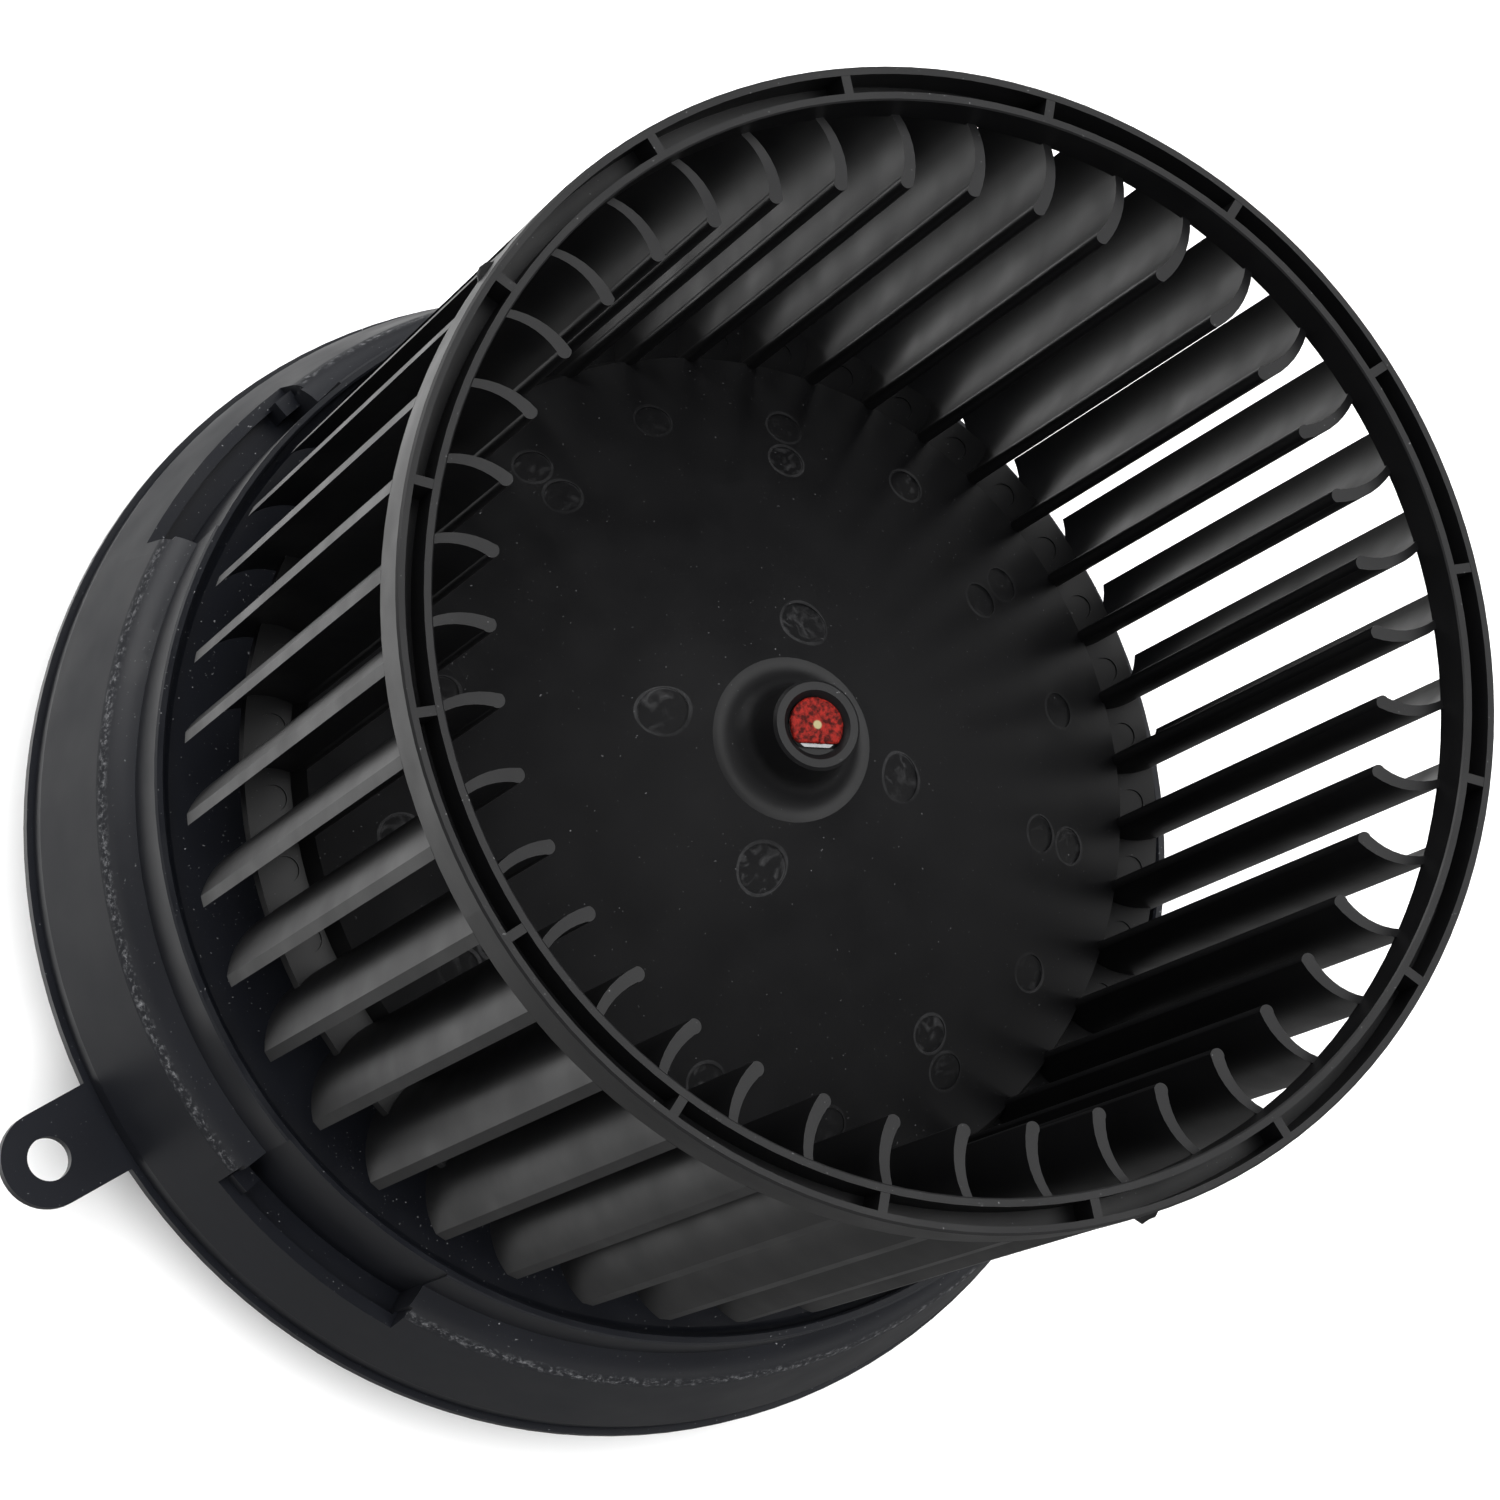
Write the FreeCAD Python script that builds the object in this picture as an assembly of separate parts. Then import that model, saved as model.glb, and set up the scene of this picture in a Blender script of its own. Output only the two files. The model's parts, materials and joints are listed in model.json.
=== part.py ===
"""Car heater blower: a squirrel-cage wheel on a brushed motor in a bayonet flange housing.

Frame: +Z is the shaft axis towards the wheel's air inlet.  The origin is on that axis, in the
plane of the ear's upper face, where the drum enters its case.  +X points at the locking ear.
Millimetres throughout.
"""
import FreeCAD, Part
import math
import os

Vec = FreeCAD.Vector
UP = Vec(0, 0, 1)
AXIS = Vec(0, 0, 0)

# ---------------------------------------------------------------- driving dimensions
# blower wheel
wheel_r = 75.0              # outside radius of the rim and of the blades
wheel_top = 136.5           # height of the inlet rim
rim_depth = 6.2             # height of the rim channel
rim_wall = 1.1              # thickness of both channel walls and of its floor
rim_width = 4.6             # radial width of the channel, walls included
rim_ribs = 16
rim_rib_t = 1.25
rim_rib_angle = 3.5         # angle of the first rib
blade_count = 41
blade_angle = 5.7           # angle of the first blade's foremost line
blade_arc_r = 10.5          # radius of the blade's curve, mid thickness
blade_arc_at = 64.5         # radius on which the centre of that curve lies, in the blade's frame
blade_t = 1.5
blade_taper = 0.85          # shift of the inner curve, which thins the blade towards its exit
blade_tip_r = 60.3          # inner edge of the blades
blade_top = wheel_top - 5.5
blade_foot = 42.0           # lower ends of the blades
hub_edge_r = 68.9
hub_edge_z = 49.9
hub_slope = 0.4856          # fall of the hub cone per millimetre of radius
hub_t = 2.3
pad_r = 62.4                # inner edge of the level band round the hub, between the blades
pad_drop = 1.2              # radial run of the step from the cone to that band
boss_top = 87.0
boss_r = 6.3
boss_flare_r = 11.5         # where the boss's fillet runs out on the cone
boss_low = 68.5
boss_low_r = 7.5
pin_marks_near = (4, 17.8, 3.4, -42.0)      # count, radius, mark radius, first angle
pin_marks_pair = (8, 45.2, 2.6, 5.5)
pin_marks_far = (8, 51.0, 2.6, 5.5)
pin_marks_mid = (8, 51.0, 2.6, -17.0)
pin_mark_depth = 0.25
pad_mark_r = 65.0
pad_mark_radius = 1.9

# shaft and bearings
shaft_r = 4.0
shaft_flat = 1.0            # depth of the drive flat
shaft_low = -9.0
shaft_top = 86.4
flat_low = 67.0
flat_side = 60.5            # direction that the drive flat faces
bearing_play = 0.03
bearing_ball_r = 7.0
bearing_len = 7.0
upper_bearing_z = 56.4
lower_bearing_z = -9.6

# motor
can_r = 30.5
can_wall = 2.0
can_low = -4.0
can_top = 58.0
nose_r = 9.5
nose_top = 65.2
magnet_t = 6.8
magnet_span = 132.0
magnet_low = 14.0
magnet_high = 50.0
clip_r = 23.0
clip_t = 0.7
core_r = 21.0
core_low = 18.0
core_high = 46.0
core_slots = 12
insulator_t = 0.6
winding_high = 52.4
winding_low = 12.0
comm_r = 10.2
comm_hub_r = 8.2
comm_low = -1.5
comm_high = 11.2
brush_h = 6.0
brush_w = 5.0
brush_in = 10.5             # face that meets the commutator
brush_len = 9.0
brush_travel = 2.5
slide_gap = 0.3
holder_wall = 0.6
holder_end = 27.0            # closed outer end of a brush holder
card_low = -0.8
card_t = 2.2
card_foot_r = 26.4
brush_z = card_low + card_t + holder_wall + slide_gap     # underside of the brushes

# flange housing
drum_foot_r = 86.8          # rim at the drum's foot, level with the ear
spigot_r = 85.8             # the band above it, which fits the case
foot_high = 4.0             # top of that band
drum_top_r = 81.9           # where the tapered wall meets the shoulder
drum_top_z = 20.5
drum_wall = 2.5
shoulder_round = 6.6
lip_r = 77.5
lip_wall = 1.4
lip_top = 35.7
deck_top = 31.7
deck_t = 2.5
cup_r = 37.5
cup_wall = 2.5
cup_low = -15.0
cup_mouth_r = 31.4
web_count = 8
web_t = 2.0
web_low = 2.0
pocket_count = 4
pocket_angle = 21.2         # middle of the first bayonet pocket
pocket_span = 21.5
pocket_floor = 14.0
pocket_ledge = 16.5         # flat step along the pocket's outer side
pocket_r = 81.0             # outer wall of the deep part of a pocket
hook_r = 78.9               # inner side of the hook at a pocket's end
hook_top = 19.5
ear_r = 96.3                # distance of the ear's hole from the shaft axis
ear_half = 7.0
ear_hole_r = 3.2
ear_t = 2.0                 # the ear lies below the origin's plane, level with the drum's foot

# rear cover, screws and connector
cover_t = 2.5
cover_boss_r = 43.5
cover_boss_half = 4.2
cover_boss_low = -11.0
cover_boss_high = 4.0
cover_boss_angles = (0, 120, 240)
screw_r = 1.75
screw_head_r = 3.5
socket_x = -cup_r
socket_len = 21.0
socket_half = 12.0
socket_low = 5.0
socket_high = 25.0
socket_wall = 2.0

os.makedirs("parts", exist_ok=True)


# ---------------------------------------------------------------- helpers
def export(name, shape):
    """Write one node and print what it holds, so that a bad solid shows at once."""
    solids = shape.Solids
    print("%-26s solids %3d  valid %s  volume %10.1f mm3" %
          (name, len(solids), shape.isValid(), sum(s.Volume for s in solids)))
    shape.exportStep("parts/%s.step" % name)


def rod(radius, low, high, x=0.0, y=0.0):
    return Part.makeCylinder(radius, high - low, Vec(x, y, low), UP)


def tube(inner, outer, low, high):
    return rod(outer, low, high).cut(rod(inner, low - 1, high + 1))


def block(x0, x1, y0, y1, z0, z1):
    return Part.makeBox(x1 - x0, y1 - y0, z1 - z0, Vec(x0, y0, z0))


def turned(shape, degrees):
    copy = shape.copy()
    copy.rotate(AXIS, UP, degrees)
    return copy


def around(shape, count, first=0.0):
    return [turned(shape, first + 360.0 * i / count) for i in range(count)]


def spun(points):
    """Solid of revolution about Z from an (r, z) outline; a 3-item point is the middle of an arc."""
    edges = []
    start = points[0]
    i = 1
    while i <= len(points):
        point = points[i % len(points)]
        if len(point) == 3:
            end = points[(i + 1) % len(points)]
            edges.append(Part.Arc(Vec(start[0], 0, start[1]), Vec(point[0], 0, point[1]),
                                  Vec(end[0], 0, end[1])).toShape())
            i += 2
        else:
            end = point
            edges.append(Part.makeLine(Vec(start[0], 0, start[1]), Vec(end[0], 0, end[1])))
            i += 1
        start = end
    return Part.Face(Part.Wire(edges)).revolve(AXIS, UP, 360)


def sector(inner, outer, low, high, middle, span):
    """Block between two radii and two heights, centred on an angle."""
    pie = Part.makeCylinder(outer, high - low, Vec(0, 0, low), UP, span)
    return turned(pie.cut(rod(inner, low - 1, high + 1)), middle - span / 2)


def polar(radius, degrees, z=0.0):
    turn = math.radians(degrees)
    return Vec(radius * math.cos(turn), radius * math.sin(turn), z)


def joined(shapes):
    return shapes[0].multiFuse(shapes[1:]).removeSplitter()


# ---------------------------------------------------------------- blower wheel
def cone_z(radius):
    """Upper surface of the hub cone."""
    return hub_edge_z + hub_slope * (hub_edge_r - radius)


def blade_section():
    """Crescent between two arcs, rounded at the tip and ended on the wheel's outside circle."""
    outer_r = blade_arc_r + blade_t / 2
    inner_r = blade_arc_r - blade_t / 2
    outer_c = Vec(blade_arc_at, blade_arc_r, 0)
    inner_c = Vec(blade_arc_at + blade_taper, blade_arc_r, 0)

    def on_arc(centre, radius, turn):
        return Vec(centre.x + radius * math.sin(turn), centre.y - radius * math.cos(turn), 0)

    def exit_turn(centre, radius):
        low, high = 0.0, math.radians(90)
        for _ in range(50):
            middle = (low + high) / 2
            if on_arc(centre, radius, middle).Length < wheel_r:
                low = middle
            else:
                high = middle
        return low

    tip = -math.asin((blade_arc_at - blade_tip_r - blade_t / 2) / blade_arc_r)
    outer_exit = exit_turn(outer_c, outer_r)
    inner_exit = exit_turn(inner_c, inner_r)
    a = on_arc(outer_c, outer_r, tip)
    b = on_arc(outer_c, outer_r, outer_exit)
    c = on_arc(inner_c, inner_r, inner_exit)
    d = on_arc(inner_c, inner_r, tip)
    back = Part.Arc(a, on_arc(outer_c, outer_r, (tip + outer_exit) / 2), b).toShape()
    face = Part.Arc(d, on_arc(inner_c, inner_r, (tip + inner_exit) / 2), c).toShape()
    rim_side = (b + c) * 0.5
    rim_side.normalize()
    end = Part.Arc(b, rim_side * wheel_r, c).toShape()
    along = Vec(-math.cos(tip), -math.sin(tip), 0)
    nose = (a + d) * 0.5 + along * ((a - d).Length / 2)
    point = Part.Arc(d, nose, a).toShape()
    return Part.Face(Part.Wire([back, end, face, point]))


def wheel_hub():
    fillet_z = cone_z(boss_flare_r)
    mid_r = boss_r + 1.3
    shell = spun([
        (shaft_r, boss_top - 0.8), (shaft_r + 0.8, boss_top), (boss_r - 0.4, boss_top),
        (boss_r, boss_top - 0.4), (boss_r + 0.25, fillet_z + 4.2),
        (mid_r, fillet_z + 1.3, "arc"), (boss_flare_r, fillet_z),
        (pad_r - pad_drop, cone_z(pad_r - pad_drop)), (pad_r, hub_edge_z),
        (hub_edge_r, hub_edge_z), (hub_edge_r, hub_edge_z - hub_t),
        (pad_r - 1.0, hub_edge_z - hub_t), (pad_r - 2.4, cone_z(pad_r - 2.4) - hub_t),
        (boss_low_r + 1.0, cone_z(boss_low_r + 1.0) - hub_t), (boss_low_r, boss_low + 4.0),
        (boss_low_r, boss_low), (shaft_r, boss_low)])
    flat = block(shaft_r - shaft_flat, shaft_r + 0.6, -shaft_r, shaft_r, boss_low, boss_top - 1.0)
    return shell.fuse(turned(flat, flat_side))


def pin_mark(radius, mark_radius, degrees):
    """Cutter for one moulding-pin mark: a shallow round dish square to the hub cone."""
    slope = math.atan(hub_slope)
    out = polar(math.sin(slope), degrees, math.cos(slope))
    foot = polar(radius, degrees, cone_z(radius)) - out * pin_mark_depth
    return Part.makeCylinder(mark_radius, 3.0, foot, out)


def wheel_rim():
    """Inlet rim: a ring-shaped channel, open upwards, with short ribs across it."""
    inner = wheel_r - rim_width
    low = wheel_top - rim_depth
    rim = spun([
        (inner, low), (wheel_r, low), (wheel_r, wheel_top - 0.3), (wheel_r - 0.3, wheel_top),
        (wheel_r - rim_wall, wheel_top), (wheel_r - rim_wall, low + rim_wall),
        (inner + rim_wall, low + rim_wall), (inner + rim_wall, wheel_top),
        (inner + 0.2, wheel_top), (inner, wheel_top - 0.2)])
    rib = block(inner + rim_wall - 0.3, wheel_r - rim_wall + 0.3, -rim_rib_t / 2, rim_rib_t / 2,
                low + rim_wall - 0.3, wheel_top - 0.05)
    return joined([rim] + around(rib, rim_ribs, rim_rib_angle))


def hub_marks():
    marks = []
    for count, radius, mark_radius, first in (pin_marks_near, pin_marks_pair, pin_marks_far,
                                              pin_marks_mid):
        marks += [pin_mark(radius, mark_radius, first + 360.0 * i / count) for i in range(count)]
    pitch = 360.0 / blade_count
    marks += [Part.makeCylinder(pad_mark_radius, 3.0, polar(
        pad_mark_r, blade_angle + pitch * (i + 0.5), hub_edge_z - pin_mark_depth), UP)
              for i in range(blade_count)]
    return Part.makeCompound(marks)


def wheel_blade(rim, hub):
    """One blade, cut where it runs into the rim and the hub, which are of one piece with it."""
    blade = blade_section()
    blade.translate(Vec(0, 0, blade_foot))
    blade = turned(blade.extrude(Vec(0, 0, blade_top - blade_foot)), blade_angle)
    return blade.cut(rim).cut(hub)


# the wheel is one moulding, given as its rim, its hub and its blades
plain_hub = wheel_hub()
rim = wheel_rim()
export("wheel_rim", rim)
export("wheel_hub", plain_hub.cut(hub_marks()))
export("wheel_blades", Part.makeCompound(around(wheel_blade(rim, plain_hub), blade_count)))


# ---------------------------------------------------------------- rotor
def rotor_shaft():
    shaft = spun([(0, shaft_low), (shaft_r - 0.5, shaft_low), (shaft_r, shaft_low + 0.5),
                  (shaft_r, shaft_top - 0.5), (shaft_r - 0.5, shaft_top), (0, shaft_top)])
    flat = block(shaft_r - shaft_flat, shaft_r + 1, -shaft_r, shaft_r, flat_low, shaft_top + 1)
    return shaft.cut(turned(flat, flat_side))


def slotted_disc(low, high, radius):
    slot_in = 11.5
    slot_out = 18.6
    slot_r = 2.1
    channel = block(slot_in, slot_out - slot_r, -slot_r, slot_r, low - 1, high + 1)
    slot = joined([channel, rod(slot_r, low - 1, high + 1, slot_in),
                   rod(slot_r, low - 1, high + 1, slot_out - slot_r),
                   block(slot_out - slot_r, radius + 1, -0.8, 0.8, low - 1, high + 1)])
    return tube(shaft_r, radius, low, high).cut(Part.makeCompound(around(slot, core_slots)))


def armature_windings():
    """Copper end turns above and below the core, and the wire bundles that fill its slots."""
    top = spun([(6.5, core_high + insulator_t), (18.2, core_high + insulator_t),
                (18.6, winding_high - 2.6, "arc"), (15.0, winding_high), (9.0, winding_high),
                (7.0, winding_high - 2.0, "arc")])
    foot = core_low - insulator_t
    bottom = spun([(6.5, foot), (7.0, winding_low + 1.6, "arc"), (9.0, winding_low),
                   (15.0, winding_low), (18.6, winding_low + 2.2, "arc"), (18.2, foot)])
    bundle = block(11.9, 17.6, -1.7, 1.7, foot - 0.5, core_high + insulator_t + 0.5)
    return joined([top, bottom] + around(bundle, core_slots))


def commutator_bars():
    bar = sector(comm_hub_r, comm_r, comm_low + 0.6, comm_high - 2.0, 0, 26.5)
    riser = sector(comm_hub_r, comm_r + 2.0, comm_high - 2.0, comm_high, 0, 16.0)
    return Part.makeCompound(around(bar.fuse(riser), core_slots, 15.0))


export("rotor_shaft", rotor_shaft())
export("armature_core", slotted_disc(core_low, core_high, core_r))
export("winding_insulators", Part.makeCompound([
    slotted_disc(core_high, core_high + insulator_t, core_r - 0.8),
    slotted_disc(core_low - insulator_t, core_low, core_r - 0.8)]))
export("armature_windings", armature_windings())
export("commutator_bars", commutator_bars())
export("commutator_hub", tube(shaft_r, comm_hub_r, comm_low, comm_high + 0.5))
export("thrust_washers", Part.makeCompound([
    tube(shaft_r, 6.4, upper_bearing_z - 1.1, upper_bearing_z - 0.3),
    tube(shaft_r, 6.4, lower_bearing_z + bearing_len + 0.3,
         lower_bearing_z + bearing_len + 1.1)]))


# ---------------------------------------------------------------- motor body
def bearing(low):
    """Sintered bush with a ball-shaped outside, so that it lines itself up in its seat."""
    high = low + bearing_len
    middle = (low + high) / 2
    end_r = math.sqrt(bearing_ball_r ** 2 - (bearing_len / 2) ** 2)
    bore = shaft_r + bearing_play
    return spun([(bore, low), (end_r, low), (bearing_ball_r, middle, "arc"), (end_r, high),
                 (bore, high)])


def motor_can():
    seat_top = upper_bearing_z + bearing_len + 0.2
    body = joined([rod(can_r, can_low, can_top), rod(nose_r, can_top - 1, nose_top)])
    body = body.makeFillet(1.5, [e for e in body.Edges if abs(e.BoundBox.ZMin - can_top) < 0.01
                                 and abs(e.BoundBox.XMax - can_r) < 0.01])
    hollow = joined([rod(can_r - can_wall, can_low - 1, can_top - can_wall),
                     rod(bearing_ball_r + 0.05, can_top - can_wall - 1, seat_top)])
    shaft_way = rod(shaft_r + 0.6, seat_top - 1, nose_top + 1)
    vent = block(can_r - 4, can_r + 1, -3.0, 3.0, can_low + 4, can_low + 11)
    vents = [turned(vent, a) for a in (45, 135, 225, 315)]
    return body.cut(joined([hollow, shaft_way])).cut(Part.makeCompound(vents))


def motor_end_plate():
    seat_low = lower_bearing_z - 0.2
    plate = spun([(0, seat_low - 1.6), (nose_r - 1, seat_low - 1.6), (nose_r, seat_low - 0.6),
                  (nose_r, can_low - 2), (can_r, can_low - 2), (can_r, can_low), (0, can_low)])
    vent = rod(2.5, can_low - 3, can_low + 1, 20.0)
    return plate.cut(joined([rod(bearing_ball_r + 0.05, seat_low, can_low + 1)]
                            + around(vent, 6, 30)))


def retainer(low):
    """Star-shaped spring washer that presses a bearing into its seat."""
    ring = tube(9.6, 12.5, low, low + 0.5)
    leg = block(6.75, 10.2, -1.3, 1.3, low, low + 0.5)
    return joined([ring] + around(leg, 6))


def magnet_clip():
    """Sprung strip wedged between the two magnets."""
    gap = 180 - magnet_span
    leg_span = 1.6
    bridge = sector(clip_r, clip_r + clip_t, magnet_low + 2, magnet_high - 2, 90, gap)
    legs = [sector(clip_r, can_r - can_wall, magnet_low + 2, magnet_high - 2,
                   90 + side * (gap - leg_span) / 2, leg_span) for side in (-1, 1)]
    return joined([bridge] + legs)


export("motor_can", motor_can())
export("motor_end_plate", motor_end_plate())
export("field_magnets", Part.makeCompound([
    sector(can_r - can_wall - magnet_t, can_r - can_wall, magnet_low, magnet_high, a, magnet_span)
    for a in (0, 180)]))
export("magnet_clips", Part.makeCompound(around(magnet_clip(), 2)))
export("upper_bearing", bearing(upper_bearing_z))
export("lower_bearing", bearing(lower_bearing_z))
export("upper_bearing_retainer", retainer(can_top - can_wall - 0.5))
export("lower_bearing_retainer", retainer(can_low))


# ---------------------------------------------------------------- brush gear
def brush():
    nose = block(brush_in, brush_in + brush_len, -brush_w / 2, brush_w / 2,
                 brush_z, brush_z + brush_h)
    return nose.makeChamfer(0.4, [e for e in nose.Edges
                                  if abs(e.BoundBox.XMin - brush_in - brush_len) < 0.01])


def brush_holder():
    """Brass box that guides a brush, closed at its outer end."""
    half = brush_w / 2 + slide_gap
    low = brush_z - slide_gap
    high = brush_z + brush_h + slide_gap
    wall = holder_wall
    start = brush_in + 2.3
    return block(start, holder_end, -half - wall, half + wall, low - wall, high + wall).cut(
        block(start - 1, holder_end - wall, -half, half, low, high))


def brush_spring():
    """Coil spring pushed right back, so that its turns all but touch, at the holder's closed end."""
    turns = 5
    wire = 0.8
    inner = 1.6
    outline = [(inner, 0), (inner + 0.7 * wire, 0)]
    for i in range(turns):
        outline += [(inner + wire, (i + 0.3) * wire), (inner + wire, (i + 0.7) * wire),
                    (inner + 0.7 * wire, (i + 1) * wire)]
    outline.append((inner, turns * wire))
    coil = spun(outline)
    coil.rotate(AXIS, Vec(0, 1, 0), -90)
    coil.translate(Vec(holder_end - holder_wall, 0, brush_z + brush_h / 2))
    return coil


def choke():
    """Ferrite rod wound with a few turns of thick wire, lying beside the brushes."""
    outline = [(0, -7.0), (1.6, -7.0), (1.6, -5.4)]
    for i in range(7):
        z = -5.4 + 1.5 * i
        outline += [(2.6, z + 0.2), (2.6, z + 1.3), (1.9, z + 1.5)]
    outline += [(1.6, 5.4), (1.6, 7.0), (0, 7.0)]
    coil = spun(outline)
    coil.rotate(AXIS, Vec(0, 1, 0), 90)
    coil.translate(Vec(0, 19.5, card_low + card_t + 2.6))
    return coil


card_top = card_low + card_t
card = tube(13.2, can_r - can_wall, card_low, card_top)
card_feet = [polar(card_foot_r, a) for a in (30, 150, 210, 330)]
card_posts = [rod(1.6, can_low, card_low + 1, foot.x, foot.y) for foot in card_feet]
export("brush_card", joined([card] + card_posts))
export("brush_right", brush())
export("brush_left", turned(brush(), 180))
export("brush_holders", Part.makeCompound(around(brush_holder(), 2)))
export("brush_springs", Part.makeCompound(around(brush_spring(), 2)))
export("suppression_chokes", Part.makeCompound(around(choke(), 2)))
capacitor = block(-16.5, -10.5, 13.0, 16.4, card_top, card_top + 7.0)
export("suppression_capacitor", capacitor.makeFillet(1.0, [e for e in capacitor.Edges
                                                           if e.BoundBox.ZLength > 5]))
cutout = block(11.0, 19.0, 11.0, 15.2, card_top, card_top + 3.4)
export("thermal_cutout", cutout.makeFillet(0.8, [e for e in cutout.Edges
                                                 if e.BoundBox.ZLength > 3]))


# ---------------------------------------------------------------- flange housing
def shoulder_point(inset, degrees):
    """Point on the shoulder's round, inset from its outer surface, at an angle above level."""
    draft = math.atan2(spigot_r - drum_top_r, drum_top_z - foot_high)
    centre_r = drum_top_r - shoulder_round * math.cos(draft)
    centre_z = drum_top_z - shoulder_round * math.sin(draft)
    radius = shoulder_round - inset
    angle = math.radians(degrees) if degrees is not None else draft
    return (centre_r + radius * math.cos(angle), centre_z + radius * math.sin(angle))


def drum_outside():
    """Outer outline from the foot up to the lip wall: band, tapered wall and rounded shoulder."""
    reach = lip_r - shoulder_point(0, 90)[0]
    meet = math.degrees(math.acos(reach / shoulder_round))
    start = shoulder_point(0, None)
    middle = shoulder_point(0, (meet + 15.0) / 2)
    end = (lip_r, shoulder_point(0, meet)[1])
    return [(drum_foot_r, -ear_t), (drum_foot_r, 0), (spigot_r, 0), (spigot_r, foot_high), start,
            middle + ("arc",), end]


def drum_shell():
    """Drum with a rounded shoulder, the lip round the wheel, the deck and the motor cup."""
    lip_in = lip_r - lip_wall
    wall_in = lip_in - 1.0
    under = deck_top - deck_t
    return spun([(spigot_r - drum_wall, -ear_t)] + drum_outside() + [
        (lip_r, lip_top - 0.3), (lip_r - 0.3, lip_top),
        (lip_in + 0.3, lip_top), (lip_in, lip_top - 0.3), (lip_in, deck_top + 1.6),
        (lip_in - 0.5, deck_top + 0.5, "arc"), (lip_in - 1.6, deck_top),
        (cup_mouth_r, deck_top), (cup_mouth_r, under), (cup_r - cup_wall, under),
        (cup_r - cup_wall, cup_low), (cup_r, cup_low), (cup_r, under), (wall_in, under),
        (wall_in, shoulder_point(drum_wall, 90)[1]), shoulder_point(drum_wall, 90),
        shoulder_point(drum_wall, 52) + ("arc",), shoulder_point(drum_wall, None),
        (spigot_r - drum_wall, foot_high)])


def pocket_cut(middle):
    deep = sector(lip_r - 0.4, pocket_r, pocket_floor, lip_top + 1, middle, pocket_span)
    step = sector(pocket_r - 0.5, drum_foot_r + 1, pocket_ledge, lip_top, middle,
                  pocket_span + 0.8)
    return deep.fuse(step)


def pocket_box(middle, envelope):
    """Walls and floor under a pocket, so that it stays closed towards the drum's inside."""
    box = sector(lip_r - lip_wall, drum_foot_r, pocket_floor - drum_wall, lip_top, middle,
                 pocket_span + 4.0)
    return box.common(envelope)


def flange_housing():
    pocket_angles = [pocket_angle + 360.0 * i / pocket_count for i in range(pocket_count)]
    web = block(cup_r - 1, spigot_r - drum_wall + 0.5, -web_t / 2, web_t / 2,
                web_low, deck_top - deck_t + 0.5)
    crown = shoulder_point(0, 90)[1]
    inside = spun([(0, web_low), (spigot_r - 1.0, web_low), (drum_top_r - 1.3, drum_top_z - 1),
                   (lip_r - 1.0, crown - 1.5), (lip_r - 1.0, deck_top - 1), (0, deck_top - 1)])
    webs = [w.common(inside) for w in around(web, web_count, 22.5)]
    ear = joined([rod(ear_half, -ear_t, 0, ear_r),
                  block(drum_foot_r - drum_wall, ear_r, -ear_half, ear_half, -ear_t, 0)])
    ear = ear.cut(rod(drum_foot_r - 1.0, -ear_t - 1, 1))
    bosses = []
    for a in cover_boss_angles:
        at = polar(cover_boss_r, a)
        bosses.append(rod(cover_boss_half, cover_boss_low, cover_boss_high, at.x, at.y))
        foot = block(cup_r - 1.5, cover_boss_r, -cover_boss_half, cover_boss_half,
                     cover_boss_low, cover_boss_high)
        bosses.append(turned(foot, a))
    envelope = spun([(0, -ear_t)] + drum_outside() + [(0, crown)])
    boxes = [pocket_box(a, envelope) for a in pocket_angles]
    body = joined([drum_shell(), ear] + bosses + webs + boxes)
    hook = sector(hook_r, drum_top_r - 0.4, pocket_floor - 0.5, hook_top,
                  pocket_angle - pocket_span / 2 + 0.9, 2.2)
    cuts = [pocket_cut(a) for a in pocket_angles]
    cuts.append(rod(ear_hole_r, -ear_t - 1, 1, ear_r))
    for a in cover_boss_angles:
        at = polar(cover_boss_r, a)
        cuts.append(rod(screw_r, cover_boss_low - 1, cover_boss_high - 3.0, at.x, at.y))
    body = body.cut(Part.makeCompound(cuts))
    return joined([body] + around(hook, pocket_count))


def rear_cover():
    plate = rod(cup_r, cup_low - cover_t, cup_low)
    lugs = []
    holes = []
    low = cover_boss_low - cover_t
    for a in cover_boss_angles:
        at = polar(cover_boss_r, a)
        lugs.append(rod(cover_boss_half, low, cover_boss_low, at.x, at.y))
        lugs.append(turned(block(cup_r + 0.05, cover_boss_r, -cover_boss_half, cover_boss_half,
                                 low, cover_boss_low), a))
        lugs.append(turned(block(cup_r - 2.0, cup_r + 1.6, -cover_boss_half, cover_boss_half,
                                 cup_low - cover_t, cup_low), a))
        lugs.append(turned(block(cup_r + 0.05, cup_r + 1.6, -cover_boss_half, cover_boss_half,
                                 cup_low - cover_t, cover_boss_low), a))
        holes.append(rod(screw_r + 0.3, low - 1, cover_boss_low + 1, at.x, at.y))
    vent = block(14.0, 24.0, -1.5, 1.5, cup_low - cover_t - 1, cup_low + 1)
    return joined([plate] + lugs).cut(Part.makeCompound(holes + around(vent, 12)))


def cover_screws():
    head_top = cover_boss_low - cover_t
    screw = spun([(0, head_top - 2.4), (1.9, head_top - 2.4),
                  (screw_head_r - 0.4, head_top - 1.4, "arc"),
                  (screw_head_r, head_top), (screw_r, head_top),
                  (screw_r, cover_boss_high - 4.5), (0, cover_boss_high - 3.2)])
    arm = block(-2.2, 2.2, -0.45, 0.45, head_top - 3.0, head_top - 1.0)
    screw = screw.cut(arm.fuse(turned(arm, 90)))
    screw.translate(Vec(cover_boss_r, 0, 0))
    return Part.makeCompound([turned(screw, a) for a in cover_boss_angles])


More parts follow.
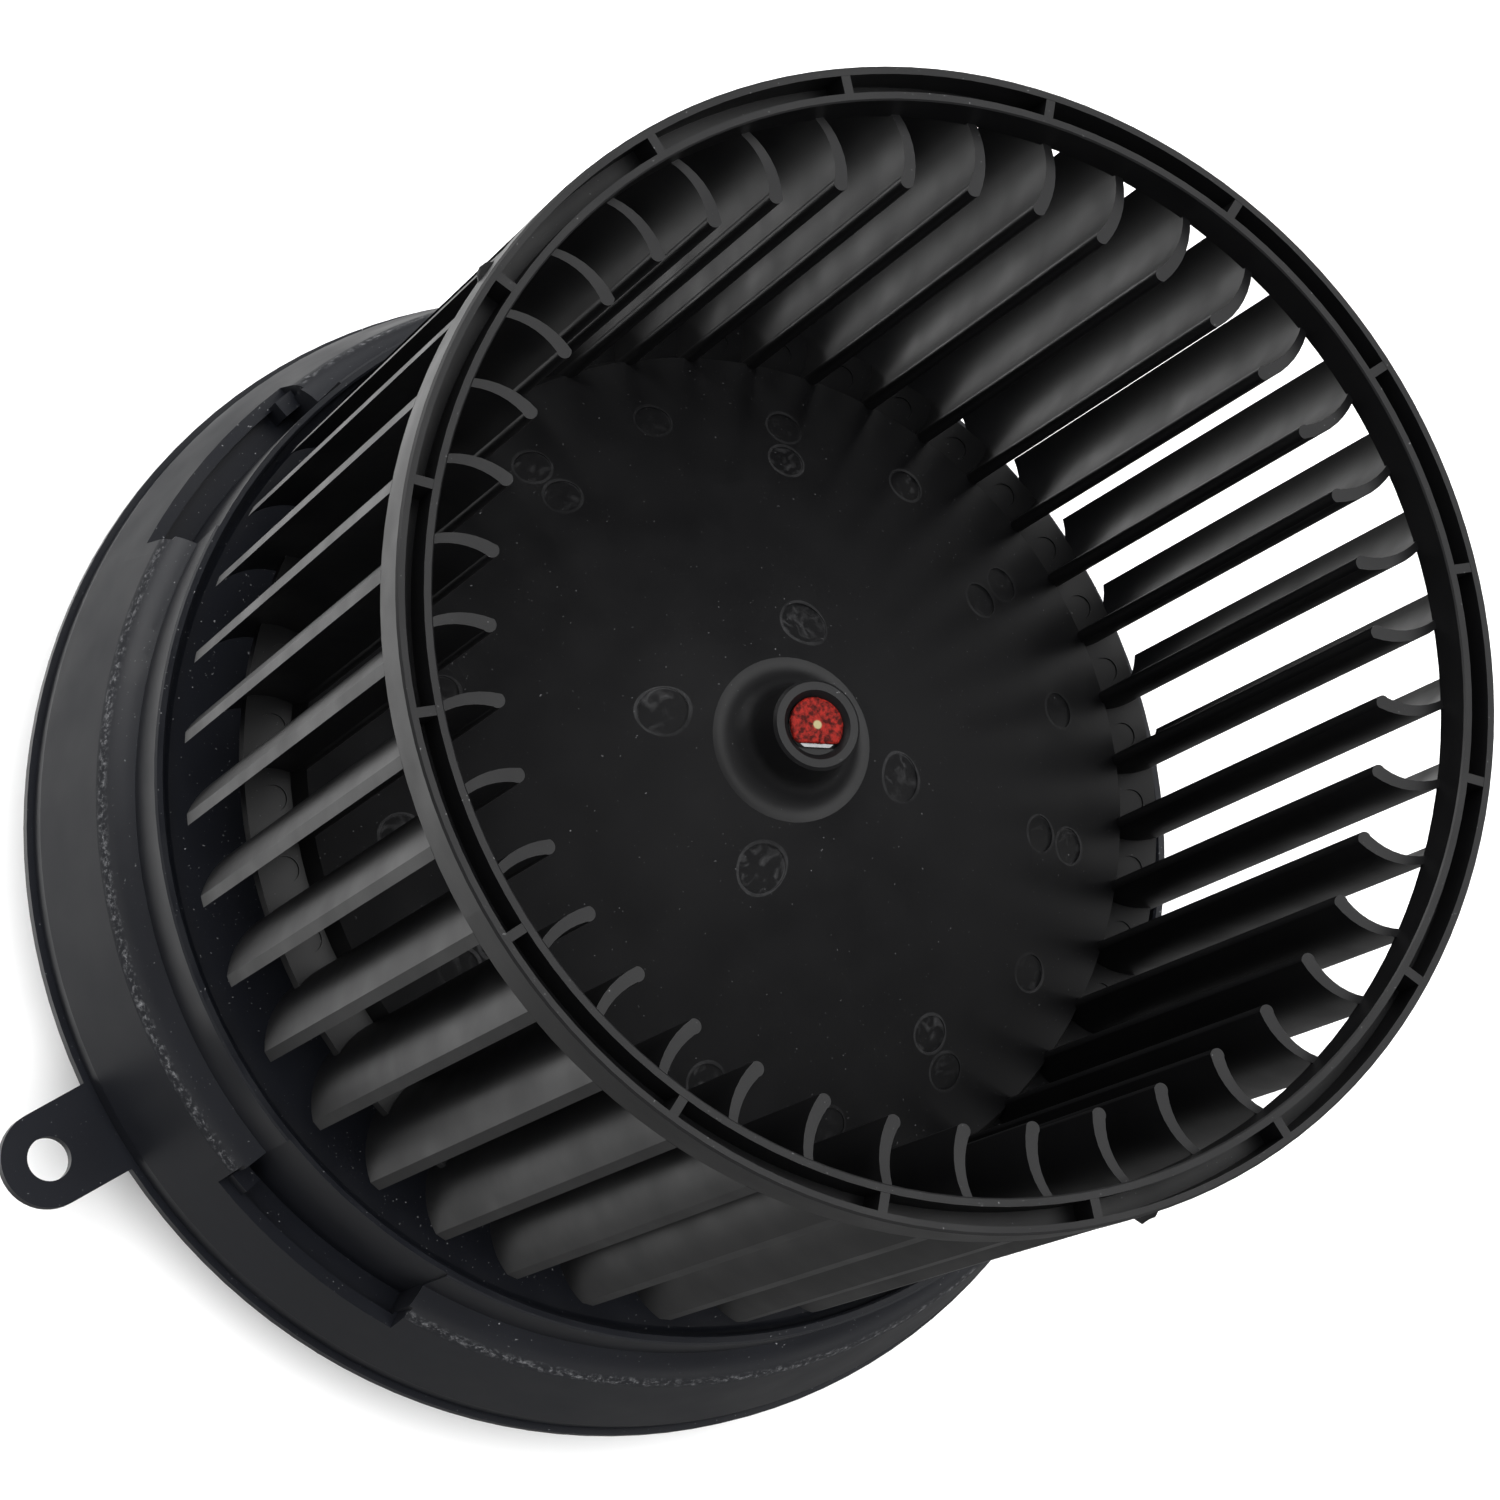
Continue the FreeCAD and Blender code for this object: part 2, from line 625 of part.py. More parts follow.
def connector_socket():
    """Plug-in socket for the supply lead, open downwards, on the side of the motor cup."""
    x0 = socket_x - socket_len
    body = block(x0, socket_x + 0.4, -socket_half, socket_half, socket_low, socket_high)
    body = body.cut(rod(cup_r, socket_low - 1, socket_high + 1))
    cavity = block(x0 + socket_wall, socket_x - socket_wall - 1.0, -socket_half + socket_wall,
                   socket_half - socket_wall, socket_low - 1, socket_high - 4.0)
    rail = block(x0 + 6.0, x0 + 9.0, socket_half - socket_wall - 1.5, socket_half - 1,
                 socket_low, socket_high - 6.0)
    return body.cut(cavity).fuse(rail)


def terminal_blades():
    x = socket_x - socket_len / 2 - 1.0
    blade = block(x - 3.15, x + 3.15, -0.4, 0.4, socket_low + 3.0, socket_high - 4.0)
    left = blade.copy()
    left.translate(Vec(0, 4.5, 0))
    right = blade.copy()
    right.translate(Vec(0, -4.5, 0))
    return Part.makeCompound([left, right])


export("flange_housing", flange_housing())
export("upper_isolator", tube(can_r, cup_r - cup_wall, deck_top - deck_t - 9.5,
                              deck_top - deck_t))
export("lower_isolator", tube(24.5, cup_r - cup_wall - 0.2, cup_low, can_low - 2))
export("rear_cover", rear_cover())
export("cover_screws", cover_screws())
export("connector_socket", connector_socket())
export("terminal_blades", terminal_blades())
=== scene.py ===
import bpy
import bmesh
import json
import math
from mathutils import Euler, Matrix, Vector


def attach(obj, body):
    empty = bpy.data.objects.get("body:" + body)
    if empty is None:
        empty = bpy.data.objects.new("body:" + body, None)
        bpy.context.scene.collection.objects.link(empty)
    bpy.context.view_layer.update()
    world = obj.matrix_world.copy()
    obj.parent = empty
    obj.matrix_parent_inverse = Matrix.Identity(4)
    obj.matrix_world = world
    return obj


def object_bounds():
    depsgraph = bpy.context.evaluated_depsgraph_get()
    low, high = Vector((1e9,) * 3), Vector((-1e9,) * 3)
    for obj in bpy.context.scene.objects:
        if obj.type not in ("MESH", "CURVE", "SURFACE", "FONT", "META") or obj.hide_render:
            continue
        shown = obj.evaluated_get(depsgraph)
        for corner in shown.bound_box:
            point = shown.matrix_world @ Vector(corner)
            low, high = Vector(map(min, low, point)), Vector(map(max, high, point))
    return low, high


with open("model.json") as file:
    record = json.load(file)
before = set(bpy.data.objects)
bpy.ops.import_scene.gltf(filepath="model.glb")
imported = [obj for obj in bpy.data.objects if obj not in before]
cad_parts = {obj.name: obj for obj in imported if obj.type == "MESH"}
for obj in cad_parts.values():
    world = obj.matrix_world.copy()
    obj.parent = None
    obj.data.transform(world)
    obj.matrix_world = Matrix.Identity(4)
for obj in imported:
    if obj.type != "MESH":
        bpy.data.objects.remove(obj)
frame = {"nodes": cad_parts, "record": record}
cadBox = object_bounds()
nodes = frame["nodes"]
slotOf = {row["node"]: row["material_slot"] for row in frame["record"]["subparts"]}
mm = 0.001
print("frame loaded:", len(nodes), "nodes")


def hexColour(text):
    # sRGB hex to the linear colour that a shader takes
    channels = [int(text[i:i + 2], 16) / 255 for i in (1, 3, 5)]
    return tuple(c / 12.92 if c <= 0.04045 else ((c + 0.055) / 1.055) ** 2.4 for c in channels) + (1.0,)


def addNode(tree, kind, settings=None, links=None):
    # settings: a property's or an input's name to its value; links: an input's name or number to a socket
    node = tree.nodes.new(kind)
    for name, value in (settings or {}).items():
        if isinstance(name, str) and hasattr(node, name):
            setattr(node, name, value)
        else:
            node.inputs[name].default_value = value
    for name, socket in (links or {}).items():
        tree.links.new(socket, node.inputs[name])
    return node


def newMaterial(name, values):
    material = bpy.data.materials.new(name)
    material.use_nodes = True
    tree = material.node_tree
    shader = tree.nodes["Principled BSDF"]
    shader.inputs["Metallic"].default_value = values.get("metallic", 0.0)
    if "ior" in values:
        shader.inputs["IOR"].default_value = values["ior"]
    return material, tree, shader, addNode(tree, "ShaderNodeTexCoord")


# how every finish turns its cloud or its marks into tone, and how far the tone's noise swings
toneSwing = {"from": 0.3, "to": 0.7}
# dust shared by the moulded pieces: where its specks end, and how far up a face has to look
dustFall = {"speckTo": 0.86, "upFrom": 0.55, "upTo": 0.95, "grainDepthMm": 0.05}
# the pale line along a shoulder's edge, a painted edge highlight broken into patches, which is full in its core
# and gone at its reach
edgeHighlight = {"core": 0.2, "patchMm": 0.9, "patchFrom": 0.5, "patchTo": 0.72}
# an ejector pin's mark: a painted glint round its rim, standing in for the highlight on the recess's edge, its
# smeared face, and how plainly it shows
pinLook = {"glintRimMm": 0.22, "glintMost": 0.2, "smearMm": 2.2, "smearFrom": 0.52, "smearTo": 0.74,
           "smearMost": 0.16, "plainMm": 11, "plainFrom": 0.38, "plainTo": 0.62,
           "plainLeast": 0.25}
# a wave texture multiplies its scale by this, so bandMm is the bands' spacing over two pi
waveFactor = 20
metalDepthMm = 0.1


def blendTone(tree, values, names, amount):
    # two of the finish's colours, blended by a noise
    return addNode(tree, "ShaderNodeMix",
                   {"data_type": "RGBA", 6: hexColour(values[names[0]]),
                    7: hexColour(values[names[1]])}, {0: amount}).outputs[2]


def layOver(tree, under, colour, amount):
    # a colour laid over another where amount is high
    return addNode(tree, "ShaderNodeMix", {"data_type": "RGBA", 7: hexColour(colour)},
                   {0: amount, 6: under}).outputs[2]


def setRoughness(tree, shader, values, noise):
    low, high = values["roughness"]
    rough = addNode(tree, "ShaderNodeMapRange",
                    {"From Min": toneSwing["from"], "From Max": toneSwing["to"],
                     "To Min": low, "To Max": high}, {"Value": noise})
    tree.links.new(rough.outputs["Result"], shader.inputs["Roughness"])


def setBump(tree, shader, strength, depthMm, height):
    bump = addNode(tree, "ShaderNodeBump", {"Strength": strength, "Distance": depthMm * mm},
                   {"Height": height})
    tree.links.new(bump.outputs["Normal"], shader.inputs["Normal"])


def fromAxis(tree, place):
    # a point's three parts, and its distance from the shaft's axis
    parts = addNode(tree, "ShaderNodeSeparateXYZ", {}, {"Vector": place})
    flat = addNode(tree, "ShaderNodeCombineXYZ", {},
                   {"X": parts.outputs["X"], "Y": parts.outputs["Y"]})
    out = addNode(tree, "ShaderNodeVectorMath", {"operation": "LENGTH"},
                  {0: flat.outputs["Vector"]})
    return parts, out.outputs["Value"]


def paintedEdgeHighlight(tree, place, dustAndHighlights, ridge):
    # pale painted edge highlight along the shoulder's edge, broken into patches
    radius, height, reach, strength = ridge
    parts, out = fromAxis(tree, place)
    across = addNode(tree, "ShaderNodeMath", {"operation": "SUBTRACT", 1: radius * mm}, {0: out})
    above = addNode(tree, "ShaderNodeMath", {"operation": "SUBTRACT", 1: height * mm},
                    {0: parts.outputs["Z"]})
    offset = addNode(tree, "ShaderNodeCombineXYZ", {},
                     {"X": across.outputs["Value"], "Y": above.outputs["Value"]})
    away = addNode(tree, "ShaderNodeVectorMath", {"operation": "LENGTH"},
                   {0: offset.outputs["Vector"]})
    near = addNode(tree, "ShaderNodeMapRange",
                   {"From Min": reach * mm, "From Max": edgeHighlight["core"] * reach * mm},
                   {"Value": away.outputs["Value"]})
    patch = addNode(tree, "ShaderNodeTexNoise",
                    {"Scale": 1 / (edgeHighlight["patchMm"] * mm), "Detail": 6.0, "Roughness": 0.8},
                    {"Vector": place})
    patchMask = addNode(tree, "ShaderNodeMapRange",
                        {"From Min": edgeHighlight["patchFrom"], "From Max": edgeHighlight["patchTo"],
                         "To Max": strength}, {"Value": patch.outputs["Fac"]})
    # painted highlight: pale patches within reach of the shoulder's edge
    highlit = addNode(tree, "ShaderNodeMath", {"operation": "MULTIPLY"},
                     {0: near.outputs["Result"], 1: patchMask.outputs["Result"]})
    return addNode(tree, "ShaderNodeMath", {"operation": "MAXIMUM"},
                   {0: highlit.outputs["Value"], 1: dustAndHighlights}).outputs["Value"]


def pinMarksWithGlints(tree, place, dustAndHighlights, pins):
    # one ring of round ejector marks, each with a painted glint round its edge: their number, ring radius, own
    # radius and first angle
    count, radius, size, first = pins
    fold = 2 * math.pi / count
    turned = addNode(tree, "ShaderNodeVectorRotate",
                     {"rotation_type": "Z_AXIS", "Angle": math.radians(-first)},
                     {"Vector": place})
    parts, out = fromAxis(tree, turned.outputs["Vector"])
    angle = addNode(tree, "ShaderNodeMath", {"operation": "ARCTAN2"},
                    {0: parts.outputs["Y"], 1: parts.outputs["X"]})
    near = addNode(tree, "ShaderNodeMath", {"operation": "WRAP", 1: fold / 2, 2: -fold / 2},
                   {0: angle.outputs["Value"]})
    arc = addNode(tree, "ShaderNodeMath", {"operation": "MULTIPLY"},
                  {0: near.outputs["Value"], 1: out})
    run = addNode(tree, "ShaderNodeMath", {"operation": "SUBTRACT", 1: radius * mm}, {0: out})
    offset = addNode(tree, "ShaderNodeCombineXYZ", {},
                     {"X": arc.outputs["Value"], "Y": run.outputs["Value"]})
    away = addNode(tree, "ShaderNodeVectorMath", {"operation": "LENGTH"},
                   {0: offset.outputs["Vector"]})
    # painted glint: a pale ring on the mark's edge where the shallow recess would catch a highlight
    rim = addNode(tree, "ShaderNodeMath",
                  {"operation": "COMPARE", 1: size * mm, 2: pinLook["glintRimMm"] * mm},
                  {0: away.outputs["Value"]})
    face = addNode(tree, "ShaderNodeMath", {"operation": "LESS_THAN", 1: size * mm},
                   {0: away.outputs["Value"]})
    smear = addNode(tree, "ShaderNodeTexNoise",
                    {"Scale": 1 / (pinLook["smearMm"] * mm), "Detail": 3.0, "Distortion": 1.2},
                    {"Vector": place})
    smearMask = addNode(tree, "ShaderNodeMapRange",
                        {"From Min": pinLook["smearFrom"], "From Max": pinLook["smearTo"],
                         "To Max": pinLook["smearMost"]}, {"Value": smear.outputs["Fac"]})
    smeared = addNode(tree, "ShaderNodeMath", {"operation": "MULTIPLY"},
                      {0: face.outputs["Value"], 1: smearMask.outputs["Result"]})
    broken = addNode(tree, "ShaderNodeMath", {"operation": "MULTIPLY"},
                     {0: rim.outputs["Value"], 1: smear.outputs["Fac"]})
    edge = addNode(tree, "ShaderNodeMath", {"operation": "MULTIPLY", 1: pinLook["glintMost"]},
                   {0: broken.outputs["Value"]})
    mark = addNode(tree, "ShaderNodeMath", {"operation": "MAXIMUM"},
                   {0: smeared.outputs["Value"], 1: edge.outputs["Value"]})
    # some marks are plain, some barely show
    plain = addNode(tree, "ShaderNodeTexNoise",
                    {"Scale": 1 / (pinLook["plainMm"] * mm), "Detail": 0.0}, {"Vector": place})
    plainMask = addNode(tree, "ShaderNodeMapRange",
                        {"From Min": pinLook["plainFrom"], "From Max": pinLook["plainTo"],
                         "To Min": pinLook["plainLeast"]}, {"Value": plain.outputs["Fac"]})
    shown = addNode(tree, "ShaderNodeMath", {"operation": "MULTIPLY"},
                    {0: mark.outputs["Value"], 1: plainMask.outputs["Result"]})
    return addNode(tree, "ShaderNodeMath", {"operation": "MAXIMUM"},
                   {0: shown.outputs["Value"], 1: dustAndHighlights}).outputs["Value"]


def mouldedPlastic(name, values):
    # a moulded skin: soft cloudy tone, a fine eroded grain, dust lying on the faces that look up, and, where a
    # finish asks for them, a painted edge highlight and painted glints round its ejector marks
    material, tree, shader, coords = newMaterial(name, values)
    place = coords.outputs["Object"]
    cloud = addNode(tree, "ShaderNodeTexNoise",
                    {"Scale": 1 / (values["cloudMm"] * mm), "Detail": 3.0}, {"Vector": place})
    tone = blendTone(tree, values, ("colour", "worn"), cloud.outputs["Fac"])
    speck = addNode(tree, "ShaderNodeTexNoise",
                    {"Scale": 1 / (values["speckMm"] * mm), "Detail": 1.0}, {"Vector": place})
    speckMask = addNode(tree, "ShaderNodeMapRange",
                        {"From Min": values["speckFrom"], "From Max": dustFall["speckTo"]},
                        {"Value": speck.outputs["Fac"]})
    facing = addNode(tree, "ShaderNodeSeparateXYZ", {}, {"Vector": coords.outputs["Normal"]})
    upward = addNode(tree, "ShaderNodeMapRange",
                     {"From Min": dustFall["upFrom"], "From Max": dustFall["upTo"]},
                     {"Value": facing.outputs["Z"]})
    dust = addNode(tree, "ShaderNodeMath", {"operation": "MULTIPLY"},
                   {0: speckMask.outputs["Result"], 1: upward.outputs["Result"]})
    dustAndHighlights = dust.outputs["Value"]
    # the mask below also takes the painted edge highlight and the painted glints, laid in the dust colour too
    if "ridge" in values:
        dustAndHighlights = paintedEdgeHighlight(tree, place, dustAndHighlights, values["ridge"])
    for pins in values.get("pins", ()):
        dustAndHighlights = pinMarksWithGlints(tree, place, dustAndHighlights, pins)
    amount = addNode(tree, "ShaderNodeMath", {"operation": "MULTIPLY", 1: values["dustAmount"]},
                     {0: dustAndHighlights})
    skin = layOver(tree, tone, values["dust"], amount.outputs["Value"])
    tree.links.new(skin, shader.inputs["Base Color"])
    setRoughness(tree, shader, values, cloud.outputs["Fac"])
    grain = addNode(tree, "ShaderNodeTexNoise",
                    {"Scale": 1 / (values["grainMm"] * mm), "Detail": 2.0}, {"Vector": place})
    setBump(tree, shader, values["grainBump"], dustFall["grainDepthMm"], grain.outputs["Fac"])
    return material


def workedMetal(name, values):
    # a metal with the marks of its making: stretch gives the marks' direction, bands the rings
    material, tree, shader, coords = newMaterial(name, values)
    place = coords.outputs["Object"]
    mapping = addNode(tree, "ShaderNodeMapping", {"Scale": values.get("stretch", (1, 1, 1))},
                      {"Vector": place})
    marks = addNode(tree, "ShaderNodeTexNoise",
                    {"Scale": 1 / (values["markMm"] * mm), "Detail": 4.0},
                    {"Vector": mapping.outputs["Vector"]})
    tone = blendTone(tree, values, ("colour", "worn"), marks.outputs["Fac"])
    tree.links.new(tone, shader.inputs["Base Color"])
    setRoughness(tree, shader, values, marks.outputs["Fac"])
    height = marks.outputs["Fac"]
    if "bandMm" in values:
        bands = addNode(tree, "ShaderNodeTexWave",
                        {"wave_type": "BANDS", "bands_direction": values["bandAxis"],
                         "Scale": 1 / (values["bandMm"] * mm) / waveFactor,
                         "Distortion": 0.4}, {"Vector": place})
        height = bands.outputs["Fac"]
    setBump(tree, shader, values["bump"], metalDepthMm, height)
    return material


# injection-moulded polypropylene: nearly black, waxy, dull where it was eroded; its ejector marks carry a
# painted glint round their rims
wheelPlastic = {"colour": "#09090a", "worn": "#101011", "dust": "#8b8b8d", "ior": 1.49,
                "roughness": (0.36, 0.46), "cloudMm": 9, "speckMm": 0.45, "speckFrom": 0.75,
                "dustAmount": 0.5, "grainMm": 0.35, "grainBump": 0.10,
                "pins": ((4, 17.8, 3.4, -42.0), (8, 45.2, 2.6, 5.5), (8, 51.0, 2.6, 5.5), (8, 51.0, 2.6, -17.0))}
# glass-filled polypropylene of the housing: a shade bluer and duller, with a painted highlight along the
# shoulder's edge
housingPlastic = {"colour": "#0b0c10", "worn": "#12141a", "dust": "#a6a7aa", "ior": 1.50,
                  "roughness": (0.40, 0.52), "cloudMm": 14, "speckMm": 0.45, "speckFrom": 0.73,
                  "dustAmount": 0.6, "grainMm": 0.40, "grainBump": 0.14,
                  "ridge": (81.4, 21.8, 1.3, 0.75)}
# polypropylene of the rear cover, smooth from a polished tool
coverPlastic = {"colour": "#0f1013", "worn": "#16171b", "dust": "#7d7d80", "ior": 1.49,
                "roughness": (0.30, 0.42), "cloudMm": 12, "speckMm": 0.9, "speckFrom": 0.76,
                "dustAmount": 0.3, "grainMm": 0.35, "grainBump": 0.08}
# polyamide of the socket, satin and a little greyer
socketPlastic = {"colour": "#15161a", "worn": "#1c1d21", "dust": "#77777a", "ior": 1.53,
                 "roughness": (0.38, 0.48), "cloudMm": 6, "speckMm": 0.8, "speckFrom": 0.76,
                 "dustAmount": 0.3, "grainMm": 0.30, "grainBump": 0.10}
# moulded natural rubber: soft, no shine
isolatorRubber = {"colour": "#0d0d0d", "worn": "#1a1a19", "dust": "#6d6a64", "ior": 1.52,
                  "roughness": (0.70, 0.85), "cloudMm": 4, "speckMm": 0.6, "speckFrom": 0.70,
                  "dustAmount": 0.4, "grainMm": 0.50, "grainBump": 0.25}
# punched phenolic paper board: brown, faintly fibrous
phenolicBoard = {"colour": "#3a2414", "worn": "#4c3120", "dust": "#7a6a58", "ior": 1.60,
                 "roughness": (0.42, 0.55), "cloudMm": 2, "speckMm": 0.5, "speckFrom": 0.72,
                 "dustAmount": 0.3, "grainMm": 0.40, "grainBump": 0.20}
# moulded nylon washer: milky, waxy
washerNylon = {"colour": "#dcd8c8", "worn": "#e6e2d6", "dust": "#b0aa9a", "ior": 1.53,
               "roughness": (0.35, 0.45), "cloudMm": 3, "speckMm": 0.6, "speckFrom": 0.78,
               "dustAmount": 0.2, "grainMm": 0.30, "grainBump": 0.06}
# epoxy powder over the core's slots: cream, orange-peel skin
slotEpoxy = {"colour": "#c9c09a", "worn": "#d6cfae", "dust": "#8d8468", "ior": 1.55,
             "roughness": (0.30, 0.45), "cloudMm": 3, "speckMm": 0.6, "speckFrom": 0.78,
             "dustAmount": 0.2, "grainMm": 0.80, "grainBump": 0.30}
# sintered ferrite: charcoal grey ceramic with a ground face
ferriteBlock = {"colour": "#2b2c2e", "worn": "#3a3b3d", "dust": "#66676a", "ior": 2.2,
                "roughness": (0.55, 0.70), "cloudMm": 2, "speckMm": 0.4, "speckFrom": 0.66,
                "dustAmount": 0.25, "grainMm": 0.35, "grainBump": 0.35}
# pressed carbon and copper of the brushes: soft dark grey with copper glints
brushCarbon = {"colour": "#262324", "worn": "#4a3a32", "dust": "#8a6a55", "ior": 1.7,
               "roughness": (0.50, 0.65), "cloudMm": 0.6, "speckMm": 0.3, "speckFrom": 0.62,
               "dustAmount": 0.4, "grainMm": 0.30, "grainBump": 0.30}
# dipped capacitor coat: glossy orange-brown resin
dippedResin = {"colour": "#8a3e14", "worn": "#9c4a1a", "dust": "#6a4a30", "ior": 1.56,
               "roughness": (0.12, 0.20), "cloudMm": 3, "speckMm": 0.5, "speckFrom": 0.80,
               "dustAmount": 0.2, "grainMm": 1.20, "grainBump": 0.15}
# ground bearing steel of the shaft: bright, with fine rings from the grinding wheel
groundSteel = {"colour": "#a9aaab", "worn": "#8c8d8f", "metallic": 1.0, "roughness": (0.22, 0.32),
               "markMm": 0.6, "stretch": (1, 1, 14), "bump": 0.06}
# zinc plate on drawn steel: pale grey-blue, cloudy spangle
zincPlate = {"colour": "#b4b7b8", "worn": "#8f9496", "metallic": 1.0, "roughness": (0.28, 0.42),
             "markMm": 3.0, "bump": 0.05}
# bright spring strip and wire: cold-rolled sheen
springStrip = {"colour": "#9a9b9c", "worn": "#7b7c7e", "metallic": 1.0, "roughness": (0.20, 0.30),
               "markMm": 0.5, "stretch": (1, 8, 1), "bump": 0.05}
# stacked electrical-steel sheets: blue-grey, edges show as fine lines
laminatedSteel = {"colour": "#5b5e62", "worn": "#45474b", "metallic": 1.0,
                  "roughness": (0.38, 0.50), "markMm": 0.8, "bandMm": 0.5, "bandAxis": "Z",
                  "bump": 0.5}
# oil-filled sintered bronze: warm, grainy, open pores
sinteredBronze = {"colour": "#8a6a3e", "worn": "#6d522f", "metallic": 1.0,
                  "roughness": (0.42, 0.58), "markMm": 0.3, "bump": 0.25}
# pressed brass of the holders, lightly tarnished
pressedBrass = {"colour": "#b9954e", "worn": "#9a7839", "metallic": 1.0, "roughness": (0.25, 0.40),
                "markMm": 2.0, "bump": 0.05}
# tin plate on the blades: soft silver-grey
tinPlate = {"colour": "#c2c0b8", "worn": "#a5a49e", "metallic": 1.0, "roughness": (0.30, 0.40),
            "markMm": 1.0, "bump": 0.05}
# turned commutator copper, ringed by the brushes
turnedCopper = {"colour": "#b8683c", "worn": "#8d4a2a", "metallic": 1.0, "roughness": (0.22, 0.38),
                "markMm": 0.5, "stretch": (1, 1, 10), "bandMm": 0.4, "bandAxis": "Z", "bump": 0.15}
# enamelled winding wire: red-brown varnish over copper
enamelledWire = {"colour": "#9c4a22", "worn": "#6f2f14", "metallic": 0.85,
                 "roughness": (0.22, 0.34), "markMm": 0.7, "bandMm": 0.7, "bandAxis": "DIAGONAL",
                 "bump": 0.8}

finishes = {
    "wheel_polypropylene": mouldedPlastic("wheelPolypropylene", wheelPlastic),
    "housing_polypropylene": mouldedPlastic("housingPolypropylene", housingPlastic),
    "cover_plastic": mouldedPlastic("coverPolypropylene", coverPlastic),
    "socket_plastic": mouldedPlastic("socketPolyamide", socketPlastic),
    "isolator_rubber": mouldedPlastic("isolatorRubber", isolatorRubber),
    "phenolic": mouldedPlastic("phenolicBoard", phenolicBoard),
    "washer_nylon": mouldedPlastic("washerNylon", washerNylon),
    "slot_insulation": mouldedPlastic("slotEpoxy", slotEpoxy),
    "ferrite": mouldedPlastic("sinteredFerrite", ferriteBlock),
    "brush_carbon": mouldedPlastic("brushCarbon", brushCarbon),
    "capacitor_coating": mouldedPlastic("dippedResin", dippedResin),
    "shaft_steel": workedMetal("groundSteel", groundSteel),
    "zinc_plated_steel": workedMetal("zincPlatedSteel", zincPlate),
    "spring_steel": workedMetal("springSteel", springStrip),
    "core_steel": workedMetal("laminatedSteel", laminatedSteel),
    "sintered_bronze": workedMetal("sinteredBronze", sinteredBronze),
    "brass": workedMetal("pressedBrass", pressedBrass),
    "tinned_brass": workedMetal("tinnedBrass", tinPlate),
    "commutator_copper": workedMetal("turnedCopper", turnedCopper),
    "winding_copper": workedMetal("enamelledWire", enamelledWire),
}
for name, node in nodes.items():
    node.data.materials.clear()
    node.data.materials.append(finishes[slotOf[name]])
print("materials:", len(finishes), "finishes on", len(nodes), "nodes")

# a brushed-on coat of thread lock over the shaft's end, proud and lumpy, with the flat's edge showing
lockPaint = {"radius": 3.85, "foot": 86.2, "top": 86.8, "flatAt": 2.5, "flatSide": 60.5,
             "crownIn": 0.5, "crownUp": 0.15, "voxel": 0.16, "lump": 0.22, "lumpMm": 1.1,
             "colour": "#2c0503", "fresh": "#76140d", "pebbleMm": 0.7, "pebbleFrom": 0.40,
             "pebbleTo": 0.62, "dot": "#857c5c", "dotMm": 0.6, "roughness": 0.65,
             "specular": 0.25, "bump": 0.6, "bumpMm": 0.15}
smoothAngle = 40


def deselect():
    bpy.ops.object.select_all(action="DESELECT")


def finishPiece(piece, name, body, material):
    piece.name = name
    piece.data.name = name
    piece.data.materials.clear()
    piece.data.materials.append(material)
    bpy.ops.object.shade_smooth_by_angle(angle=math.radians(smoothAngle))
    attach(piece, body)


def paintMaterial(values):
    # dried thread lock: brick red, pebbled where the brush left it, with the shaft's centre mark bare
    material, tree, shader, coords = newMaterial("threadLockPaint", {"ior": 1.5})
    place = coords.outputs["Object"]
    pebbles = addNode(tree, "ShaderNodeTexNoise",
                      {"Scale": 1 / (values["pebbleMm"] * mm), "Detail": 4.0, "Roughness": 0.65},
                      {"Vector": place})
    pebbleMask = addNode(tree, "ShaderNodeMapRange",
                         {"From Min": values["pebbleFrom"], "From Max": values["pebbleTo"]},
                         {"Value": pebbles.outputs["Fac"]})
    red = blendTone(tree, values, ("colour", "fresh"), pebbleMask.outputs["Result"])
    out = fromAxis(tree, place)[1]
    # the centre mark's edge is soft, from a little outside its radius to a little inside
    dot = addNode(tree, "ShaderNodeMapRange",
                  {"From Min": values["dotMm"] * 1.15 * mm, "From Max": values["dotMm"] * 0.8 * mm},
                  {"Value": out})
    skin = layOver(tree, red, values["dot"], dot.outputs["Result"])
    tree.links.new(skin, shader.inputs["Base Color"])
    shader.inputs["Roughness"].default_value = values["roughness"]
    shader.inputs["Specular IOR Level"].default_value = values["specular"]
    setBump(tree, shader, values["bump"], values["bumpMm"], pebbles.outputs["Fac"])
    return material


